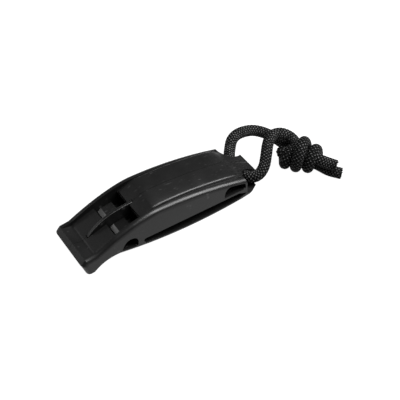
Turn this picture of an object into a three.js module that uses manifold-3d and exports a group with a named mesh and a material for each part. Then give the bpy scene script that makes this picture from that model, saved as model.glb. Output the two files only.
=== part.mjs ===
// A flat two-tone safety whistle: two moulded half shells, a divider plate between
// their sound chambers, and a braided cord looped through the tail and knotted.
// Millimetres, +Z up. The mouth points to -X and the cord leaves at +X.
import * as THREE from "three";
import { mergeVertices } from "three/addons/utils/BufferGeometryUtils.js";
import Module from "manifold-3d";

const wasm = await Module();
wasm.setup();

// Overall body
const BODY_LENGTH = 72.3;
const BODY_WIDTH = 20.8;
const SIDE_WALL = 2.2;
const SEAM_GAP = 0.1;
const SHOULDER_DROP = 1.6; // round shoulder along the rails, seen in the side view
const SHOULDER_WIDTH = 1.7; // the same shoulder, seen in the end view
const KEEL_ROUND = 0.4; // softened lower edges
const KEEL_SHARE = 0.25; // of the tail's end height, the most that this rounding takes
const LIP_CORNER = 2.4; // corners seen from above
const TAIL_CORNER = 6.2;

// Upper outline: lip, bead, rails
const LIP_EDGE_Z = 4.1;
const BEAD_X = 1.7;
const BEAD_Z = 6.0;
const RAIL_START_X = 5.2;
const RAIL_START_Z = 6.4;
const ARCH_X = 29.1;
const ARCH_Z = 13.95;
const ARCH_FRONT_POWER = 1.6;
const RAIL_END_Z = 8.7;
const TONGUE_END_Z = 5.6;
const TONGUE_LENGTH = 7.0;

// Lower outline: lower lip, throat hollow, belly
const LOWER_LIP_FRONT_X = 2.4;
const LOWER_LIP_REAR_X = 4.5;
const THROAT_X = 13.9;
const THROAT_PULL_X = 8.0;
const THROAT_PULL_Z = 3.3;
const BELLY_X = 44.5;
const BELLY_RADIUS = 155;
const HEEL_LENGTH = 5.8;
const STRIP = 0.85; // belly strip below the side slots

// Mouthpiece deck and air ways
const GROOVE_X = 5.2; // the groove's curve is drawn towards this point
const GROOVE_Z = 4.3;
const DECK_START_X = 6.2;
const DECK_START_Z = 5.45;
const DECK_END_X = 14.4;
const DECK_END_Z = 8.3;
const AIRWAY_MOUTH_X = 1.15;
const AIRWAY_MOUTH_Z = 2.05;
const AIRWAY_EXIT_Z = 6.25;
const AIRWAY_HEIGHT = 1.7;
const AIRWAY_SIDE_WALL = 2.8;

// Windows, splitter wedge and sound chambers
const SLIT = 1.3; // gap between the deck's end and the wedge's edge
const WEDGE_Z = 5.9;
const WEDGE_BEVEL_LENGTH = 1.3;
const WEDGE_BEVEL_Z = 6.95;
const WEDGE_END_X = 21.2;
const WEDGE_END_Z = 7.6;
const WINDOW_END_X = 23.7;
const CHAMBER_FLOOR_Z = 5.6;
const CHAMBER_FLOOR = 1.2;
const LONG_CHAMBER_BACK = 19.6; // from the tail's end, low tone, left half
const SHORT_CHAMBER_BACK = 25.1; // from the tail's end, high tone, right half
const CHAMBER_END_WALL = 1.5;
const ROOF = 1.8;

// Crown between the rails
const LABIUM_Z = 12.2;
const RAMP_END_X = 28.4;
const RAMP_END_Z = 14.1;
const CREST_LENGTH = 4.6; // from the ramp's end to the crown's highest line
const CROWN_Z = 14.55;
const CROWN_END_Z = 11.25;
const CROWN_STEP_LENGTH = 2.1;
const TAIL_DECK_Z = 9.7;
const TAIL_DECK_LENGTH = 8.7;
const CREASE = 0.25; // narrow groove between crown and rail
const CREASE_DEPTH = 1.0;
const CAMBER = 0.55; // fall of the crown from its middle to its sides
const CROWN_EDGE_DROP = 1.1; // rolled side edges of the crown
const CROWN_EDGE_WIDTH = 2.2;

// Side openings
const FRONT_HOLE_X = 14.7;
const FRONT_HOLE_LENGTH = 6.3;
const FRONT_HOLE_TOP_Z = 7.2;
const SLOT_FRONT_X = 23.1;
const SLOT_TOP_Z = 4.4;
const SLOT_TIP = 7.5; // from the tail's end to the slot's rear tip
const SLOT_TAPER = 3.4;
const REAR_HOLE_FRONT = 16.9; // both from the tail's end
const REAR_HOLE_REAR = 8.0;
const REAR_HOLE_Z = 5.3;
const REAR_HOLE_UNDER_RAIL = 1.25;
const HOLE_REACH = 0.05; // of the openings past the wall's inner face

// Cord tunnel through the tail, open at its corners
const TUNNEL_SETBACK = 4.3;
const TUNNEL_Z = 4.7;
const SCOOP_SETBACK = 3.0;
const SCOOP_RADIUS = 4.7;
const SCOOP_INSET = 1.8; // from the side wall's face to the scoop's axis
const SCOOP_FLOOR_Z = 2.75;

// Divider plate, whose upper edge shows as a rib between the windows
const DIVIDER = 1.0;
const DIVIDER_FIT = 0.2;
const RIB_FRONT_X = 7.3;
const RIB_END_X = 25.0;
const RIB_END_Z = 12.6;
const RIB_PROUD = 0.1; // above the deck at the rib's front tip

// Cord, its knot and its cut ends
const CORD_DIAMETER = 3.8;
const CORD_GAP = 0.35; // between neighbouring stretches of the cord
const WRAP_GAP = 0.75; // between two wraps of the knot, along its axis
const WIDE_WRAP_RADIUS = 4.95; // wraps at the middle, by the loop and by the tails
const LOOP_WRAP_RADIUS = 2.7;
const TAIL_WRAP_RADIUS = 3.35;
const WRAP_TAPER = 3.2; // length in which the wraps narrow from the middle
const KNOT_LIFT = 0.1; // of the lowest wraps above the ground
const CORE_INSET = 0.7; // of the core's surface inside the wraps' centre line
const CORE_LOOP_END = 8.7; // from the widest wrap to both ends of the core
const CORE_TAIL_END = 6.8;
const CORE_RISE = 1.5; // of the core's end by the loop

const ABOVE = 30; // well clear of the object
const CURVE_STEPS = 14;

const HALF_WIDTH = BODY_WIDTH / 2;
const INNER = HALF_WIDTH - SIDE_WALL;
const POCKET = DIVIDER / 2 + DIVIDER_FIT;
const RAIL_END_X = BODY_LENGTH - TONGUE_LENGTH;
const TAIL_DECK_X = BODY_LENGTH - TAIL_DECK_LENGTH;
const CROWN_END_X = TAIL_DECK_X - CROWN_STEP_LENGTH;
const CROWN_X = RAMP_END_X + CREST_LENGTH;
const HEEL_X = BODY_LENGTH - HEEL_LENGTH;
const TUNNEL_X = BODY_LENGTH - TUNNEL_SETBACK;
const TUNNEL_RADIUS = CORD_DIAMETER / 2 + CORD_GAP;
const WEDGE_X = DECK_END_X + SLIT;

const at = (x, z) => new THREE.Vector2(x, z);
const mix = (a, b, t) => a + (b - a) * t;

// Height of the rails' top, of the crown's middle and of the belly, along the body
function railZ(x) {
  if (x < ARCH_X) {
    const share = (ARCH_X - x) / (ARCH_X - RAIL_START_X);
    return ARCH_Z - (ARCH_Z - RAIL_START_Z) * share ** ARCH_FRONT_POWER;
  }
  const share = (x - ARCH_X) / (RAIL_END_X - ARCH_X);
  return ARCH_Z - (ARCH_Z - RAIL_END_Z) * share ** 2;
}

function crownZ(x) {
  if (x < RAMP_END_X) {
    return mix(LABIUM_Z, RAMP_END_Z, (x - WINDOW_END_X) / (RAMP_END_X - WINDOW_END_X));
  }
  if (x < CROWN_X) {
    return CROWN_Z - (CROWN_Z - RAMP_END_Z) * ((CROWN_X - x) / (CROWN_X - RAMP_END_X)) ** 2;
  }
  return CROWN_Z - (CROWN_Z - CROWN_END_Z) * ((x - CROWN_X) / (CROWN_END_X - CROWN_X)) ** 2;
}

function bellyZ(x) {
  return BELLY_RADIUS - Math.sqrt(BELLY_RADIUS ** 2 - (x - BELLY_X) ** 2);
}

function deckZ(x) {
  return mix(DECK_START_Z, DECK_END_Z, (x - DECK_START_X) / (DECK_END_X - DECK_START_X));
}

function airwayZ(x) {
  const share = (x - AIRWAY_MOUTH_X) / (DECK_END_X - AIRWAY_MOUTH_X);
  return mix(AIRWAY_MOUTH_Z, AIRWAY_EXIT_Z, share);
}

function tailDeckZ(x) {
  return mix(TAIL_DECK_Z, TONGUE_END_Z, (x - TAIL_DECK_X) / TAIL_DECK_LENGTH);
}

// Points of height(x) from x0 to x1, either way round
function run(height, x0, x1, steps = CURVE_STEPS) {
  const points = [];
  for (let i = 0; i <= steps; i++) {
    const x = mix(x0, x1, i / steps);
    points.push(at(x, height(x)));
  }
  return points;
}

function bend(start, pull, end, steps = CURVE_STEPS / 2) {
  return new THREE.QuadraticBezierCurve(start, pull, end).getPoints(steps);
}

// Solids
function solid(geometry) {
  geometry.deleteAttribute("normal");
  geometry.deleteAttribute("uv");
  const merged = mergeVertices(geometry, 1e-4);
  const mesh = new wasm.Mesh({
    numProp: 3,
    vertProperties: merged.attributes.position.array,
    triVerts: new Uint32Array(merged.index.array),
  });
  return new wasm.Manifold(mesh);
}

// Side-view outline carried across the width, from y0 to y1, with optional rounded edges:
// the outline shrinks by drop over the last width at each end
function across(points, y0, y1, drop = 0, width = 0, rounds = 4) {
  const geometry = new THREE.ExtrudeGeometry(new THREE.Shape(points), {
    depth: y1 - y0 - 2 * width,
    bevelEnabled: drop > 0,
    bevelSize: drop,
    bevelOffset: -drop,
    bevelThickness: width,
    bevelSegments: rounds,
  });
  geometry.translate(0, 0, width - y1);
  geometry.rotateX(Math.PI / 2);
  return solid(geometry);
}

function upright(shape, z0, z1) {
  const geometry = new THREE.ExtrudeGeometry(shape, {
    depth: z1 - z0,
    bevelEnabled: false,
    curveSegments: CURVE_STEPS / 2,
  });
  geometry.translate(0, 0, z0);
  return solid(geometry);
}

// Outline of the body in side view, without the crown
function upperOutline() {
  return [
    at(0, LIP_EDGE_Z),
    at(BEAD_X, BEAD_Z),
    ...run(railZ, RAIL_START_X, ARCH_X),
    ...run(railZ, ARCH_X, RAIL_END_X).slice(1),
    at(BODY_LENGTH, TONGUE_END_Z),
  ];
}

function lowerOutline() {
  const heel = at(HEEL_X, bellyZ(HEEL_X));
  const throat = at(THROAT_X, bellyZ(THROAT_X));
  return [
    ...bend(at(BODY_LENGTH, TONGUE_END_Z), at(BODY_LENGTH, bellyZ(BODY_LENGTH)), heel).slice(1),
    ...run(bellyZ, HEEL_X, THROAT_X).slice(1),
    ...bend(throat, at(THROAT_PULL_X, THROAT_PULL_Z), at(LOWER_LIP_REAR_X, 0)).slice(1),
    at(LOWER_LIP_FRONT_X, 0),
  ];
}

function planOutline() {
  const plan = new THREE.Shape();
  plan.moveTo(LIP_CORNER, -HALF_WIDTH);
  plan.lineTo(BODY_LENGTH - TAIL_CORNER, -HALF_WIDTH);
  plan.quadraticCurveTo(BODY_LENGTH, -HALF_WIDTH, BODY_LENGTH, -HALF_WIDTH + TAIL_CORNER);
  plan.lineTo(BODY_LENGTH, HALF_WIDTH - TAIL_CORNER);
  plan.quadraticCurveTo(BODY_LENGTH, HALF_WIDTH, BODY_LENGTH - TAIL_CORNER, HALF_WIDTH);
  plan.lineTo(LIP_CORNER, HALF_WIDTH);
  plan.quadraticCurveTo(0, HALF_WIDTH, 0, HALF_WIDTH - LIP_CORNER);
  plan.lineTo(0, -HALF_WIDTH + LIP_CORNER);
  plan.quadraticCurveTo(0, -HALF_WIDTH, LIP_CORNER, -HALF_WIDTH);
  return plan;
}

// The moulded block: rails with round shoulders, soft keel edges, round corners from above
function block() {
  const shoulders = across(
    [...upperOutline(), at(BODY_LENGTH, -ABOVE), at(LOWER_LIP_FRONT_X, -ABOVE), at(LOWER_LIP_FRONT_X, 0)],
    -HALF_WIDTH, HALF_WIDTH, SHOULDER_DROP, SHOULDER_WIDTH,
  );
  const tailHeight = TONGUE_END_Z - bellyZ(BODY_LENGTH);
  const keelRound = Math.min(KEEL_ROUND, KEEL_SHARE * tailHeight);
  const keel = across(
    [...upperOutline(), ...lowerOutline()], -HALF_WIDTH, HALF_WIDTH, keelRound, keelRound, 2,
  );
  return keel.intersect(shoulders).intersect(upright(planOutline(), -1, ABOVE));
}

// The crown panel and the tail deck behind it, cambered across and rounded at the sides
function crown() {
  const half = INNER - CREASE;
  const outline = [
    ...run(crownZ, WINDOW_END_X, RAMP_END_X, 1),
    ...run(crownZ, RAMP_END_X, CROWN_X, CURVE_STEPS / 2).slice(1),
    ...run(crownZ, CROWN_X, CROWN_END_X).slice(1),
    at(TAIL_DECK_X, TAIL_DECK_Z),
    at(BODY_LENGTH, TONGUE_END_Z),
    at(BODY_LENGTH, -ABOVE),
    at(WINDOW_END_X, -ABOVE),
  ];
  const cambered = across(outline, -half, half, CAMBER, half - CREASE, 6);
  const edged = across(outline, -half, half, CROWN_EDGE_DROP, CROWN_EDGE_WIDTH, 5);
  const aboveKeel = across([at(0, ABOVE), at(BODY_LENGTH, ABOVE), ...lowerOutline()], -half, half);
  return cambered.intersect(edged).intersect(aboveKeel);
}

// The space between the rails that the crown, deck and windows lie in
function trough() {
  const front = [
    ...bend(at(BEAD_X, BEAD_Z), at(GROOVE_X, GROOVE_Z), at(DECK_START_X, DECK_START_Z)),
    at(DECK_END_X, DECK_END_Z),
    at(DECK_END_X, ABOVE),
    at(BEAD_X, ABOVE),
  ];
  const creaseZ = (x) => crownZ(x) - CREASE_DEPTH;
  const rear = [
    at(WINDOW_END_X, ABOVE),
    ...run(creaseZ, WINDOW_END_X, CROWN_END_X),
    at(TAIL_DECK_X, TAIL_DECK_Z - CREASE_DEPTH),
    at(TAIL_DECK_X, ABOVE),
  ];
  return across(front, -INNER, INNER).add(across(rear, -INNER, INNER));
}

// The hollow of one half: the gap under the wedge, the window and the sound chamber
function chamber(back, y0, y1) {
  const roofZ = (x) => crownZ(x) - ROOF;
  const stripZ = (x) => bellyZ(x) + STRIP;
  const end = BODY_LENGTH - back;
  const outline = [
    at(DECK_END_X, ABOVE),
    ...run(stripZ, DECK_END_X, WEDGE_END_X, CURVE_STEPS / 2),
    at(WEDGE_END_X, CHAMBER_FLOOR_Z - CHAMBER_FLOOR),
    at(WEDGE_X, WEDGE_Z),
    at(WEDGE_X + WEDGE_BEVEL_LENGTH, WEDGE_BEVEL_Z),
    at(WEDGE_END_X, WEDGE_END_Z),
    at(WEDGE_END_X, CHAMBER_FLOOR_Z),
    at(end, CHAMBER_FLOOR_Z),
    ...run(roofZ, end, WINDOW_END_X),
    at(WINDOW_END_X, ABOVE),
  ];
  return across(outline, y0, y1);
}

function rearHollow(back, y0, y1) {
  const roofZ = (x) => crownZ(x) - ROOF;
  const start = BODY_LENGTH - back + CHAMBER_END_WALL;
  const end = BODY_LENGTH - REAR_HOLE_REAR;
  const outline = [
    at(start, CHAMBER_FLOOR_Z),
    at(end, CHAMBER_FLOOR_Z),
    at(end, crownZ(CROWN_END_X) - 2 * ROOF),
    ...run(roofZ, CROWN_END_X - ROOF, start, CURVE_STEPS / 2),
  ];
  return across(outline, y0, y1);
}

function airway(y0, y1) {
  const half = AIRWAY_HEIGHT / 2;
  const front = -AIRWAY_MOUTH_X;
  const rear = DECK_END_X + SLIT / 2;
  const outline = [
    at(front, airwayZ(front) - half),
    at(rear, airwayZ(rear) - half),
    at(rear, airwayZ(rear) + half),
    at(front, airwayZ(front) + half),
  ];
  return across(outline, y0, y1);
}

// Openings in the side walls
function frontHole() {
  const rear = FRONT_HOLE_X + FRONT_HOLE_LENGTH;
  const stripZ = (x) => bellyZ(x) + STRIP;
  const tip = at(FRONT_HOLE_X, stripZ(FRONT_HOLE_X));
  const heel = at(rear, mix(stripZ(rear), FRONT_HOLE_TOP_Z, 0.4));
  const top = at(mix(FRONT_HOLE_X, rear, 0.55), FRONT_HOLE_TOP_Z);
  return [
    ...bend(tip, at(mix(tip.x, top.x, 0.4), FRONT_HOLE_TOP_Z), top),
    ...bend(top, at(rear, FRONT_HOLE_TOP_Z), heel).slice(1),
    ...bend(heel, at(rear, stripZ(rear)), at(rear - STRIP, stripZ(rear - STRIP))).slice(1),
    ...run(stripZ, rear - STRIP, FRONT_HOLE_X, CURVE_STEPS / 2).slice(1, -1),
  ];
}

function longSlot() {
  const stripZ = (x) => bellyZ(x) + STRIP;
  const tipX = BODY_LENGTH - SLOT_TIP;
  const taperX = tipX - SLOT_TAPER;
  const roundX = SLOT_FRONT_X + STRIP;
  const nose = at(SLOT_FRONT_X, mix(stripZ(SLOT_FRONT_X), SLOT_TOP_Z, 0.6));
  return [
    ...run(stripZ, roundX, taperX),
    at(tipX, mix(stripZ(tipX), SLOT_TOP_Z, 0.4)),
    at(taperX, SLOT_TOP_Z),
    ...bend(at(roundX, SLOT_TOP_Z), at(SLOT_FRONT_X, SLOT_TOP_Z), nose),
    ...bend(nose, at(SLOT_FRONT_X, stripZ(roundX)), at(roundX, stripZ(roundX))).slice(1, -1),
  ];
}

function rearHole() {
  const front = BODY_LENGTH - REAR_HOLE_FRONT;
  const rear = BODY_LENGTH - REAR_HOLE_REAR;
  const underRail = (x) => railZ(x) - REAR_HOLE_UNDER_RAIL;
  const crestX = mix(front, rear, 0.3);
  const bottom = at(front, REAR_HOLE_Z);
  const crest = at(crestX, underRail(crestX));
  const shoulderX = mix(front, rear, 0.9);
  const shoulder = at(shoulderX, underRail(shoulderX));
  const foot = at(shoulderX, REAR_HOLE_Z);
  return [
    ...bend(bottom, at(front, crest.y), crest),
    ...run(underRail, crestX, shoulderX, CURVE_STEPS / 2).slice(1),
    ...bend(shoulder, at(rear, underRail(rear)), at(rear, mix(shoulder.y, foot.y, 0.5))).slice(1),
    ...bend(at(rear, mix(shoulder.y, foot.y, 0.5)), at(rear, foot.y), foot).slice(1),
  ];
}

function tunnel() {
  const round = new THREE.CylinderGeometry(TUNNEL_RADIUS, TUNNEL_RADIUS, 2 * BODY_WIDTH, 24);
  return solid(round).translate([TUNNEL_X, 0, TUNNEL_Z]);
}

function scoops() {
  const length = ABOVE - SCOOP_FLOOR_Z;
  const side = HALF_WIDTH - SCOOP_INSET;
  const cut = (y) => {
    const round = new THREE.CylinderGeometry(SCOOP_RADIUS, SCOOP_RADIUS, length, 32);
    round.rotateX(Math.PI / 2);
    return solid(round).translate([BODY_LENGTH - SCOOP_SETBACK, y, SCOOP_FLOOR_Z + length / 2]);
  };
  return cut(side).add(cut(-side));
}

// Divider plate between the chambers, and with room = DIVIDER_FIT the pocket for it
function dividerOutline(room = 0) {
  const end = BODY_LENGTH - LONG_CHAMBER_BACK - DIVIDER_FIT + room;
  const under = (x) => crownZ(x) - ROOF - DIVIDER_FIT + room;
  const front = RIB_FRONT_X - room;
  const step = RIB_END_X + room;
  const frontTop = room ? ABOVE : deckZ(RIB_FRONT_X) + RIB_PROUD;
  const stepTop = room ? ABOVE : RIB_END_Z;
  const below = AIRWAY_HEIGHT / 2 + DIVIDER_FIT + room;
  const floor = CHAMBER_FLOOR_Z + DIVIDER_FIT - room;
  return [
    at(front, airwayZ(front) - below),
    at(WEDGE_X, airwayZ(DECK_END_X) - below),
    at(WEDGE_X + SLIT, floor),
    at(end, floor),
    ...run(under, end, step),
    at(step, stepTop),
    at(front, frontTop),
  ];
}

function pocket() {
  return across(dividerOutline(DIVIDER_FIT), -POCKET, POCKET);
}

// One half shell, side = 1 for the left half and -1 for the right half
function halfShell(side, back) {
  const span = (a, b) => (side > 0 ? [a, b] : [-b, -a]);
  const half = across(
    [at(-ABOVE, -ABOVE), at(BODY_LENGTH + ABOVE, -ABOVE), at(BODY_LENGTH + ABOVE, ABOVE), at(-ABOVE, ABOVE)],
    ...span(SEAM_GAP / 2, BODY_WIDTH),
  );
  const through = [-BODY_WIDTH, BODY_WIDTH];
  const wallOnly = span(INNER - HOLE_REACH, BODY_WIDTH);
  return block()
    .subtract(trough())
    .add(crown())
    .intersect(half)
    .subtract(chamber(back, ...span(POCKET, INNER)))
    .subtract(rearHollow(back, ...span(-SEAM_GAP, INNER)))
    .subtract(airway(...span(POCKET, HALF_WIDTH - AIRWAY_SIDE_WALL)))
    .subtract(pocket())
    .subtract(across(frontHole(), ...wallOnly))
    .subtract(across(longSlot(), ...through))
    .subtract(across(rearHole(), ...wallOnly))
    .subtract(tunnel())
    .subtract(scoops());
}

// Route of the loop: from the knot past the far corner, through the tunnel and past the
// near corner back to the knot. The lip's edge is x = 0
const LOOP_ROUTE = [
  [88.6, -7.4, 6.5],
  [87.5, -4.0, 4.9],
  [89.0, -1.8, 4.7],
  [89.1, 0.9, 4.9],
  [88.4, 3.9, 5.4],
  [87.2, 7.0, 5.8],
  [85.4, 10.2, 6.1],
  [83.0, 12.4, 6.4],
  [80.1, 13.4, 6.6],
  [76.2, 13.2, 6.9],
  [73.3, 11.8, 6.7],
  [70.7, 9.2, 5.5],
  [68.7, 6.4, 4.9],
  [68.0, 3.9, 4.7],
  [68.0, 0, 4.7],
  [68.0, -3.9, 4.7],
  [68.4, -5.2, 4.75],
  [69.8, -6.8, 5.0],
  [72.0, -7.4, 5.7],
  [74.6, -6.6, 7.3],
  [77.2, -4.2, 9.4],
  [79.8, -1.4, 10.8],
  [82.0, 0.4, 11.6],
  [84.4, 1.1, 11.9],
  [87.0, 0.5, 11.6],
  [89.2, -1.2, 10.5],
  [90.3, -3.0, 9.1],
  [90.1, -6.6, 7.3],
];
const UPPER_TAIL = [
  [91.0, -10.7, 6.8],
  [93.0, -14.7, 7.2],
  [94.7, -17.0, 6.7],
  [96.4, -19.5, 6.4],
];
const LOWER_TAIL = [
  [91.6, -10.1, 4.2],
  [93.8, -13.2, 3.3],
  [95.9, -17.0, 2.4],
  [98.5, -20.5, 2.05],
];

class Route extends THREE.CatmullRomCurve3 {
  constructor(points) {
    super(points.map((p) => (p.isVector3 ? p : new THREE.Vector3(...p))), false, "centripetal");
  }
}

function tube(points, steps, radius = CORD_DIAMETER / 2) {
  const section = new THREE.Shape();
  for (let i = 0; i < 8; i++) {
    const angle = (i * Math.PI) / 4;
    const x = radius * Math.cos(angle);
    const y = radius * Math.sin(angle);
    if (i === 0) section.moveTo(x, y);
    else section.lineTo(x, y);
  }
  const geometry = new THREE.ExtrudeGeometry(section, { steps, extrudePath: new Route(points) });
  return solid(geometry);
}

// The knot lies on the ground: wraps of the cord, widest at the middle, round a core.
// Its axis points to the tails; turn 0 is the top of a wrap and turn 0.25 its near side
const KNOT_GROUND = new THREE.Vector3(89.45, -8.2, 0);
const KNOT_AXIS = new THREE.Vector3(1, -1.006, 0).normalize();
const KNOT_UP = new THREE.Vector3(0, 0, 1);
const KNOT_NEAR = new THREE.Vector3().crossVectors(KNOT_AXIS, KNOT_UP);

function wrapRadius(along) {
  const least = along > 0 ? TAIL_WRAP_RADIUS : LOOP_WRAP_RADIUS;
  const reach = Math.min(1, Math.abs(along) / WRAP_TAPER);
  return mix(least, WIDE_WRAP_RADIUS, (1 + Math.cos(Math.PI * reach)) / 2);
}

function knotPoint(along, near, up) {
  const middle = CORD_DIAMETER / 2 + KNOT_LIFT + wrapRadius(along);
  return KNOT_GROUND.clone()
    .addScaledVector(KNOT_AXIS, along)
    .addScaledVector(KNOT_NEAR, near)
    .addScaledVector(KNOT_UP, middle + up);
}

// Three wraps, whose ends lead into the core
function knotWraps() {
  const points = [];
  for (let i = 0; i <= 37; i++) {
    const turn = i / 12 - 1.5;
    const lead = Math.max(0, -1.2 - turn, turn - 1.3) / 0.3;
    const along = (CORD_DIAMETER + WRAP_GAP) * (0.125 - turn) - (turn < 0 ? 0.5 * lead : 0);
    const radius = wrapRadius(along) * (1 - 0.6 * lead);
    const angle = 2 * Math.PI * turn;
    points.push(knotPoint(along, radius * Math.sin(angle), radius * Math.cos(angle)));
  }
  return points;
}

// Least gap between the knot's wraps, measured on points along the tube
function leastWrapGap() {
  const points = new Route(knotWraps()).getSpacedPoints(240);
  const step = points[0].distanceTo(points[1]);
  const apart = Math.ceil((3 * CORD_DIAMETER) / step);
  let least = Infinity;
  for (let i = 0; i < points.length; i++) {
    for (let j = i + apart; j < points.length; j++) {
      least = Math.min(least, points[i].distanceTo(points[j]) - CORD_DIAMETER);
    }
  }
  return least;
}

// The core swells with the wraps, and its end by the loop is the last bend of the cord
function knotCore(room) {
  const middle = (CORE_TAIL_END - CORE_LOOP_END) / 2;
  const half = (CORE_TAIL_END + CORE_LOOP_END) / 2 + room;
  const profile = [];
  for (let i = 0; i <= 18; i++) {
    const angle = (Math.PI * i) / 18 - Math.PI / 2;
    const along = middle + half * Math.sin(angle);
    const radius = (wrapRadius(along) - CORE_INSET) * Math.cos(angle) ** 0.35 + room;
    profile.push(at(i % 18 ? radius : 0, along));
  }
  const core = new THREE.LatheGeometry(profile, 20);
  const places = core.getAttribute("position");
  for (let i = 0; i < places.count; i++) {
    const along = places.getY(i);
    const rise = CORE_RISE * Math.min(1, Math.max(0, -along - WRAP_TAPER) / WRAP_TAPER);
    const place = knotPoint(along, places.getX(i), places.getZ(i) + rise);
    places.setXYZ(i, place.x, place.y, place.z);
  }
  return solid(core);
}

function knot(room = 0) {
  return knotCore(room).add(tube(knotWraps(), 72, CORD_DIAMETER / 2 + room));
}

// A stretch of cord that ends a hair's breadth before the knot
function upToKnot(points, steps) {
  const parts = tube(points, steps).subtract(knot(CORD_GAP)).decompose();
  return parts.reduce((a, b) => (b.volume() > a.volume() ? b : a));
}

function meshOf(shape, name, colour, roughness) {
  const { vertProperties, triVerts } = shape.getMesh();
  const geometry = new THREE.BufferGeometry();
  geometry.setAttribute("position", new THREE.BufferAttribute(vertProperties, 3));
  geometry.setIndex(new THREE.BufferAttribute(triVerts, 1));
  const material = new THREE.MeshStandardMaterial({ color: colour, roughness, metalness: 0 });
  const mesh = new THREE.Mesh(geometry, material);
  mesh.name = name;
  return mesh;
}

const BLACK_ABS = 0x232426;
const whistle = new THREE.Group();
whistle.add(meshOf(halfShell(1, LONG_CHAMBER_BACK), "left_half_shell", BLACK_ABS, 0.45));
whistle.add(meshOf(halfShell(-1, SHORT_CHAMBER_BACK), "right_half_shell", BLACK_ABS, 0.45));
whistle.add(meshOf(across(dividerOutline(), -DIVIDER / 2, DIVIDER / 2), "chamber_divider", BLACK_ABS, 0.5));
const BLACK_CORD = 0x1b1b1c;
whistle.add(meshOf(upToKnot(LOOP_ROUTE, 64), "cord_loop", BLACK_CORD, 0.9));
whistle.add(meshOf(knot(), "cord_knot", BLACK_CORD, 0.9));
whistle.add(meshOf(upToKnot(UPPER_TAIL, 6), "cord_tail_upper", BLACK_CORD, 0.9));
whistle.add(meshOf(upToKnot(LOWER_TAIL, 6), "cord_tail_lower", BLACK_CORD, 0.9));
console.log(`least gap between the knot's wraps: ${leastWrapGap().toFixed(2)} mm`);
whistle.position.x = -BODY_LENGTH / 2;

export default whistle;
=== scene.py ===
"""A flat black safety whistle on a short knotted cord, finished over its CAD frame."""

import math

import bmesh
import bpy
from bpy.props import FloatProperty, FloatVectorProperty, IntProperty, PointerProperty
from mathutils import Euler, Matrix, Vector


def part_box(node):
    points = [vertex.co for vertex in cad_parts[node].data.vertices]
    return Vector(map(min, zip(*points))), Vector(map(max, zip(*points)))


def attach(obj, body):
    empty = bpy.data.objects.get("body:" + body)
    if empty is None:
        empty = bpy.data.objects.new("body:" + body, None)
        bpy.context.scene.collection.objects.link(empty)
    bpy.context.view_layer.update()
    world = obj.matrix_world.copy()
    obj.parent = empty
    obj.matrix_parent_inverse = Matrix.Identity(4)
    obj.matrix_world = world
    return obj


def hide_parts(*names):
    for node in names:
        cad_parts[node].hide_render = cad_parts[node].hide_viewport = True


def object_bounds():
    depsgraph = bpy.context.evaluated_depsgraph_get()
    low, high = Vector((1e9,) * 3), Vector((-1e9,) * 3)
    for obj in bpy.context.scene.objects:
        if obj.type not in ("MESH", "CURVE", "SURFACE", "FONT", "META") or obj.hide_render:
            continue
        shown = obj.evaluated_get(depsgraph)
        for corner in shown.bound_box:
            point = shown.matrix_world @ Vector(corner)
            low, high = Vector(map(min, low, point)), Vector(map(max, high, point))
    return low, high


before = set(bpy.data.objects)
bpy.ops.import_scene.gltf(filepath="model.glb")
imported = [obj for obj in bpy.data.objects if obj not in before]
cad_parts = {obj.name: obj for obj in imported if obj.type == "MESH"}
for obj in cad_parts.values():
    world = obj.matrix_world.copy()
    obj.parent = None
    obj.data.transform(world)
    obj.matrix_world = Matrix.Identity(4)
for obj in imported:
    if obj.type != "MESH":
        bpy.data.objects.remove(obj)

bl_info = {
    "name": "Safety Whistle",
    "version": (1, 0, 0),
    "blender": (4, 5, 0),
    "location": "3D View > Sidebar > Whistle",
    "description": "Finishes the moulded halves of a safety whistle and braids its cord",
    "category": "Object",
}

MM = 0.001
CAD_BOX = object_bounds()
LIP_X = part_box("left_half_shell")[0].x  # the places below are measured from the lip's edge

# Route of the cord in millimetres: along from the lip's edge, across, up.
# The far half leaves the tunnel at the far corner, the near half at the near corner
TUNNEL_MIDDLE = (68.0, 0.0, 4.7)
FAR_LOOP = [
    (68.0, 3.9, 4.7), (68.7, 6.4, 4.9), (70.7, 9.2, 5.5), (73.3, 11.8, 6.7),
    (76.2, 13.2, 6.9), (80.1, 13.4, 6.6), (83.0, 12.4, 6.4), (85.4, 10.2, 6.1),
    (87.2, 7.0, 5.8), (88.4, 3.9, 5.4), (89.1, 0.9, 4.9), (89.0, -1.8, 4.7),
]
NEAR_LOOP = [
    (68.0, -3.9, 4.7), (68.4, -5.2, 4.75), (69.8, -6.8, 5.0), (72.0, -7.4, 5.7),
    (74.6, -6.6, 7.3), (77.2, -4.2, 9.4), (79.8, -1.4, 10.8), (82.0, 0.4, 11.6),
    (84.4, 1.1, 11.9), (87.0, 0.5, 11.6), (89.2, -1.2, 10.5), (90.3, -3.0, 9.1),
    (90.1, -6.6, 7.3),
]
UPPER_TAIL = [
    (91.0, -10.7, 6.8), (93.0, -14.7, 7.2), (94.7, -17.0, 6.7), (96.4, -19.5, 6.4),
]
LOWER_TAIL = [
    (91.6, -10.1, 4.2), (93.8, -13.2, 3.3), (95.9, -17.0, 2.4), (98.5, -20.5, 2.2),
]
ROUTE_STEP = 0.25  # between two points of the finished line

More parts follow.
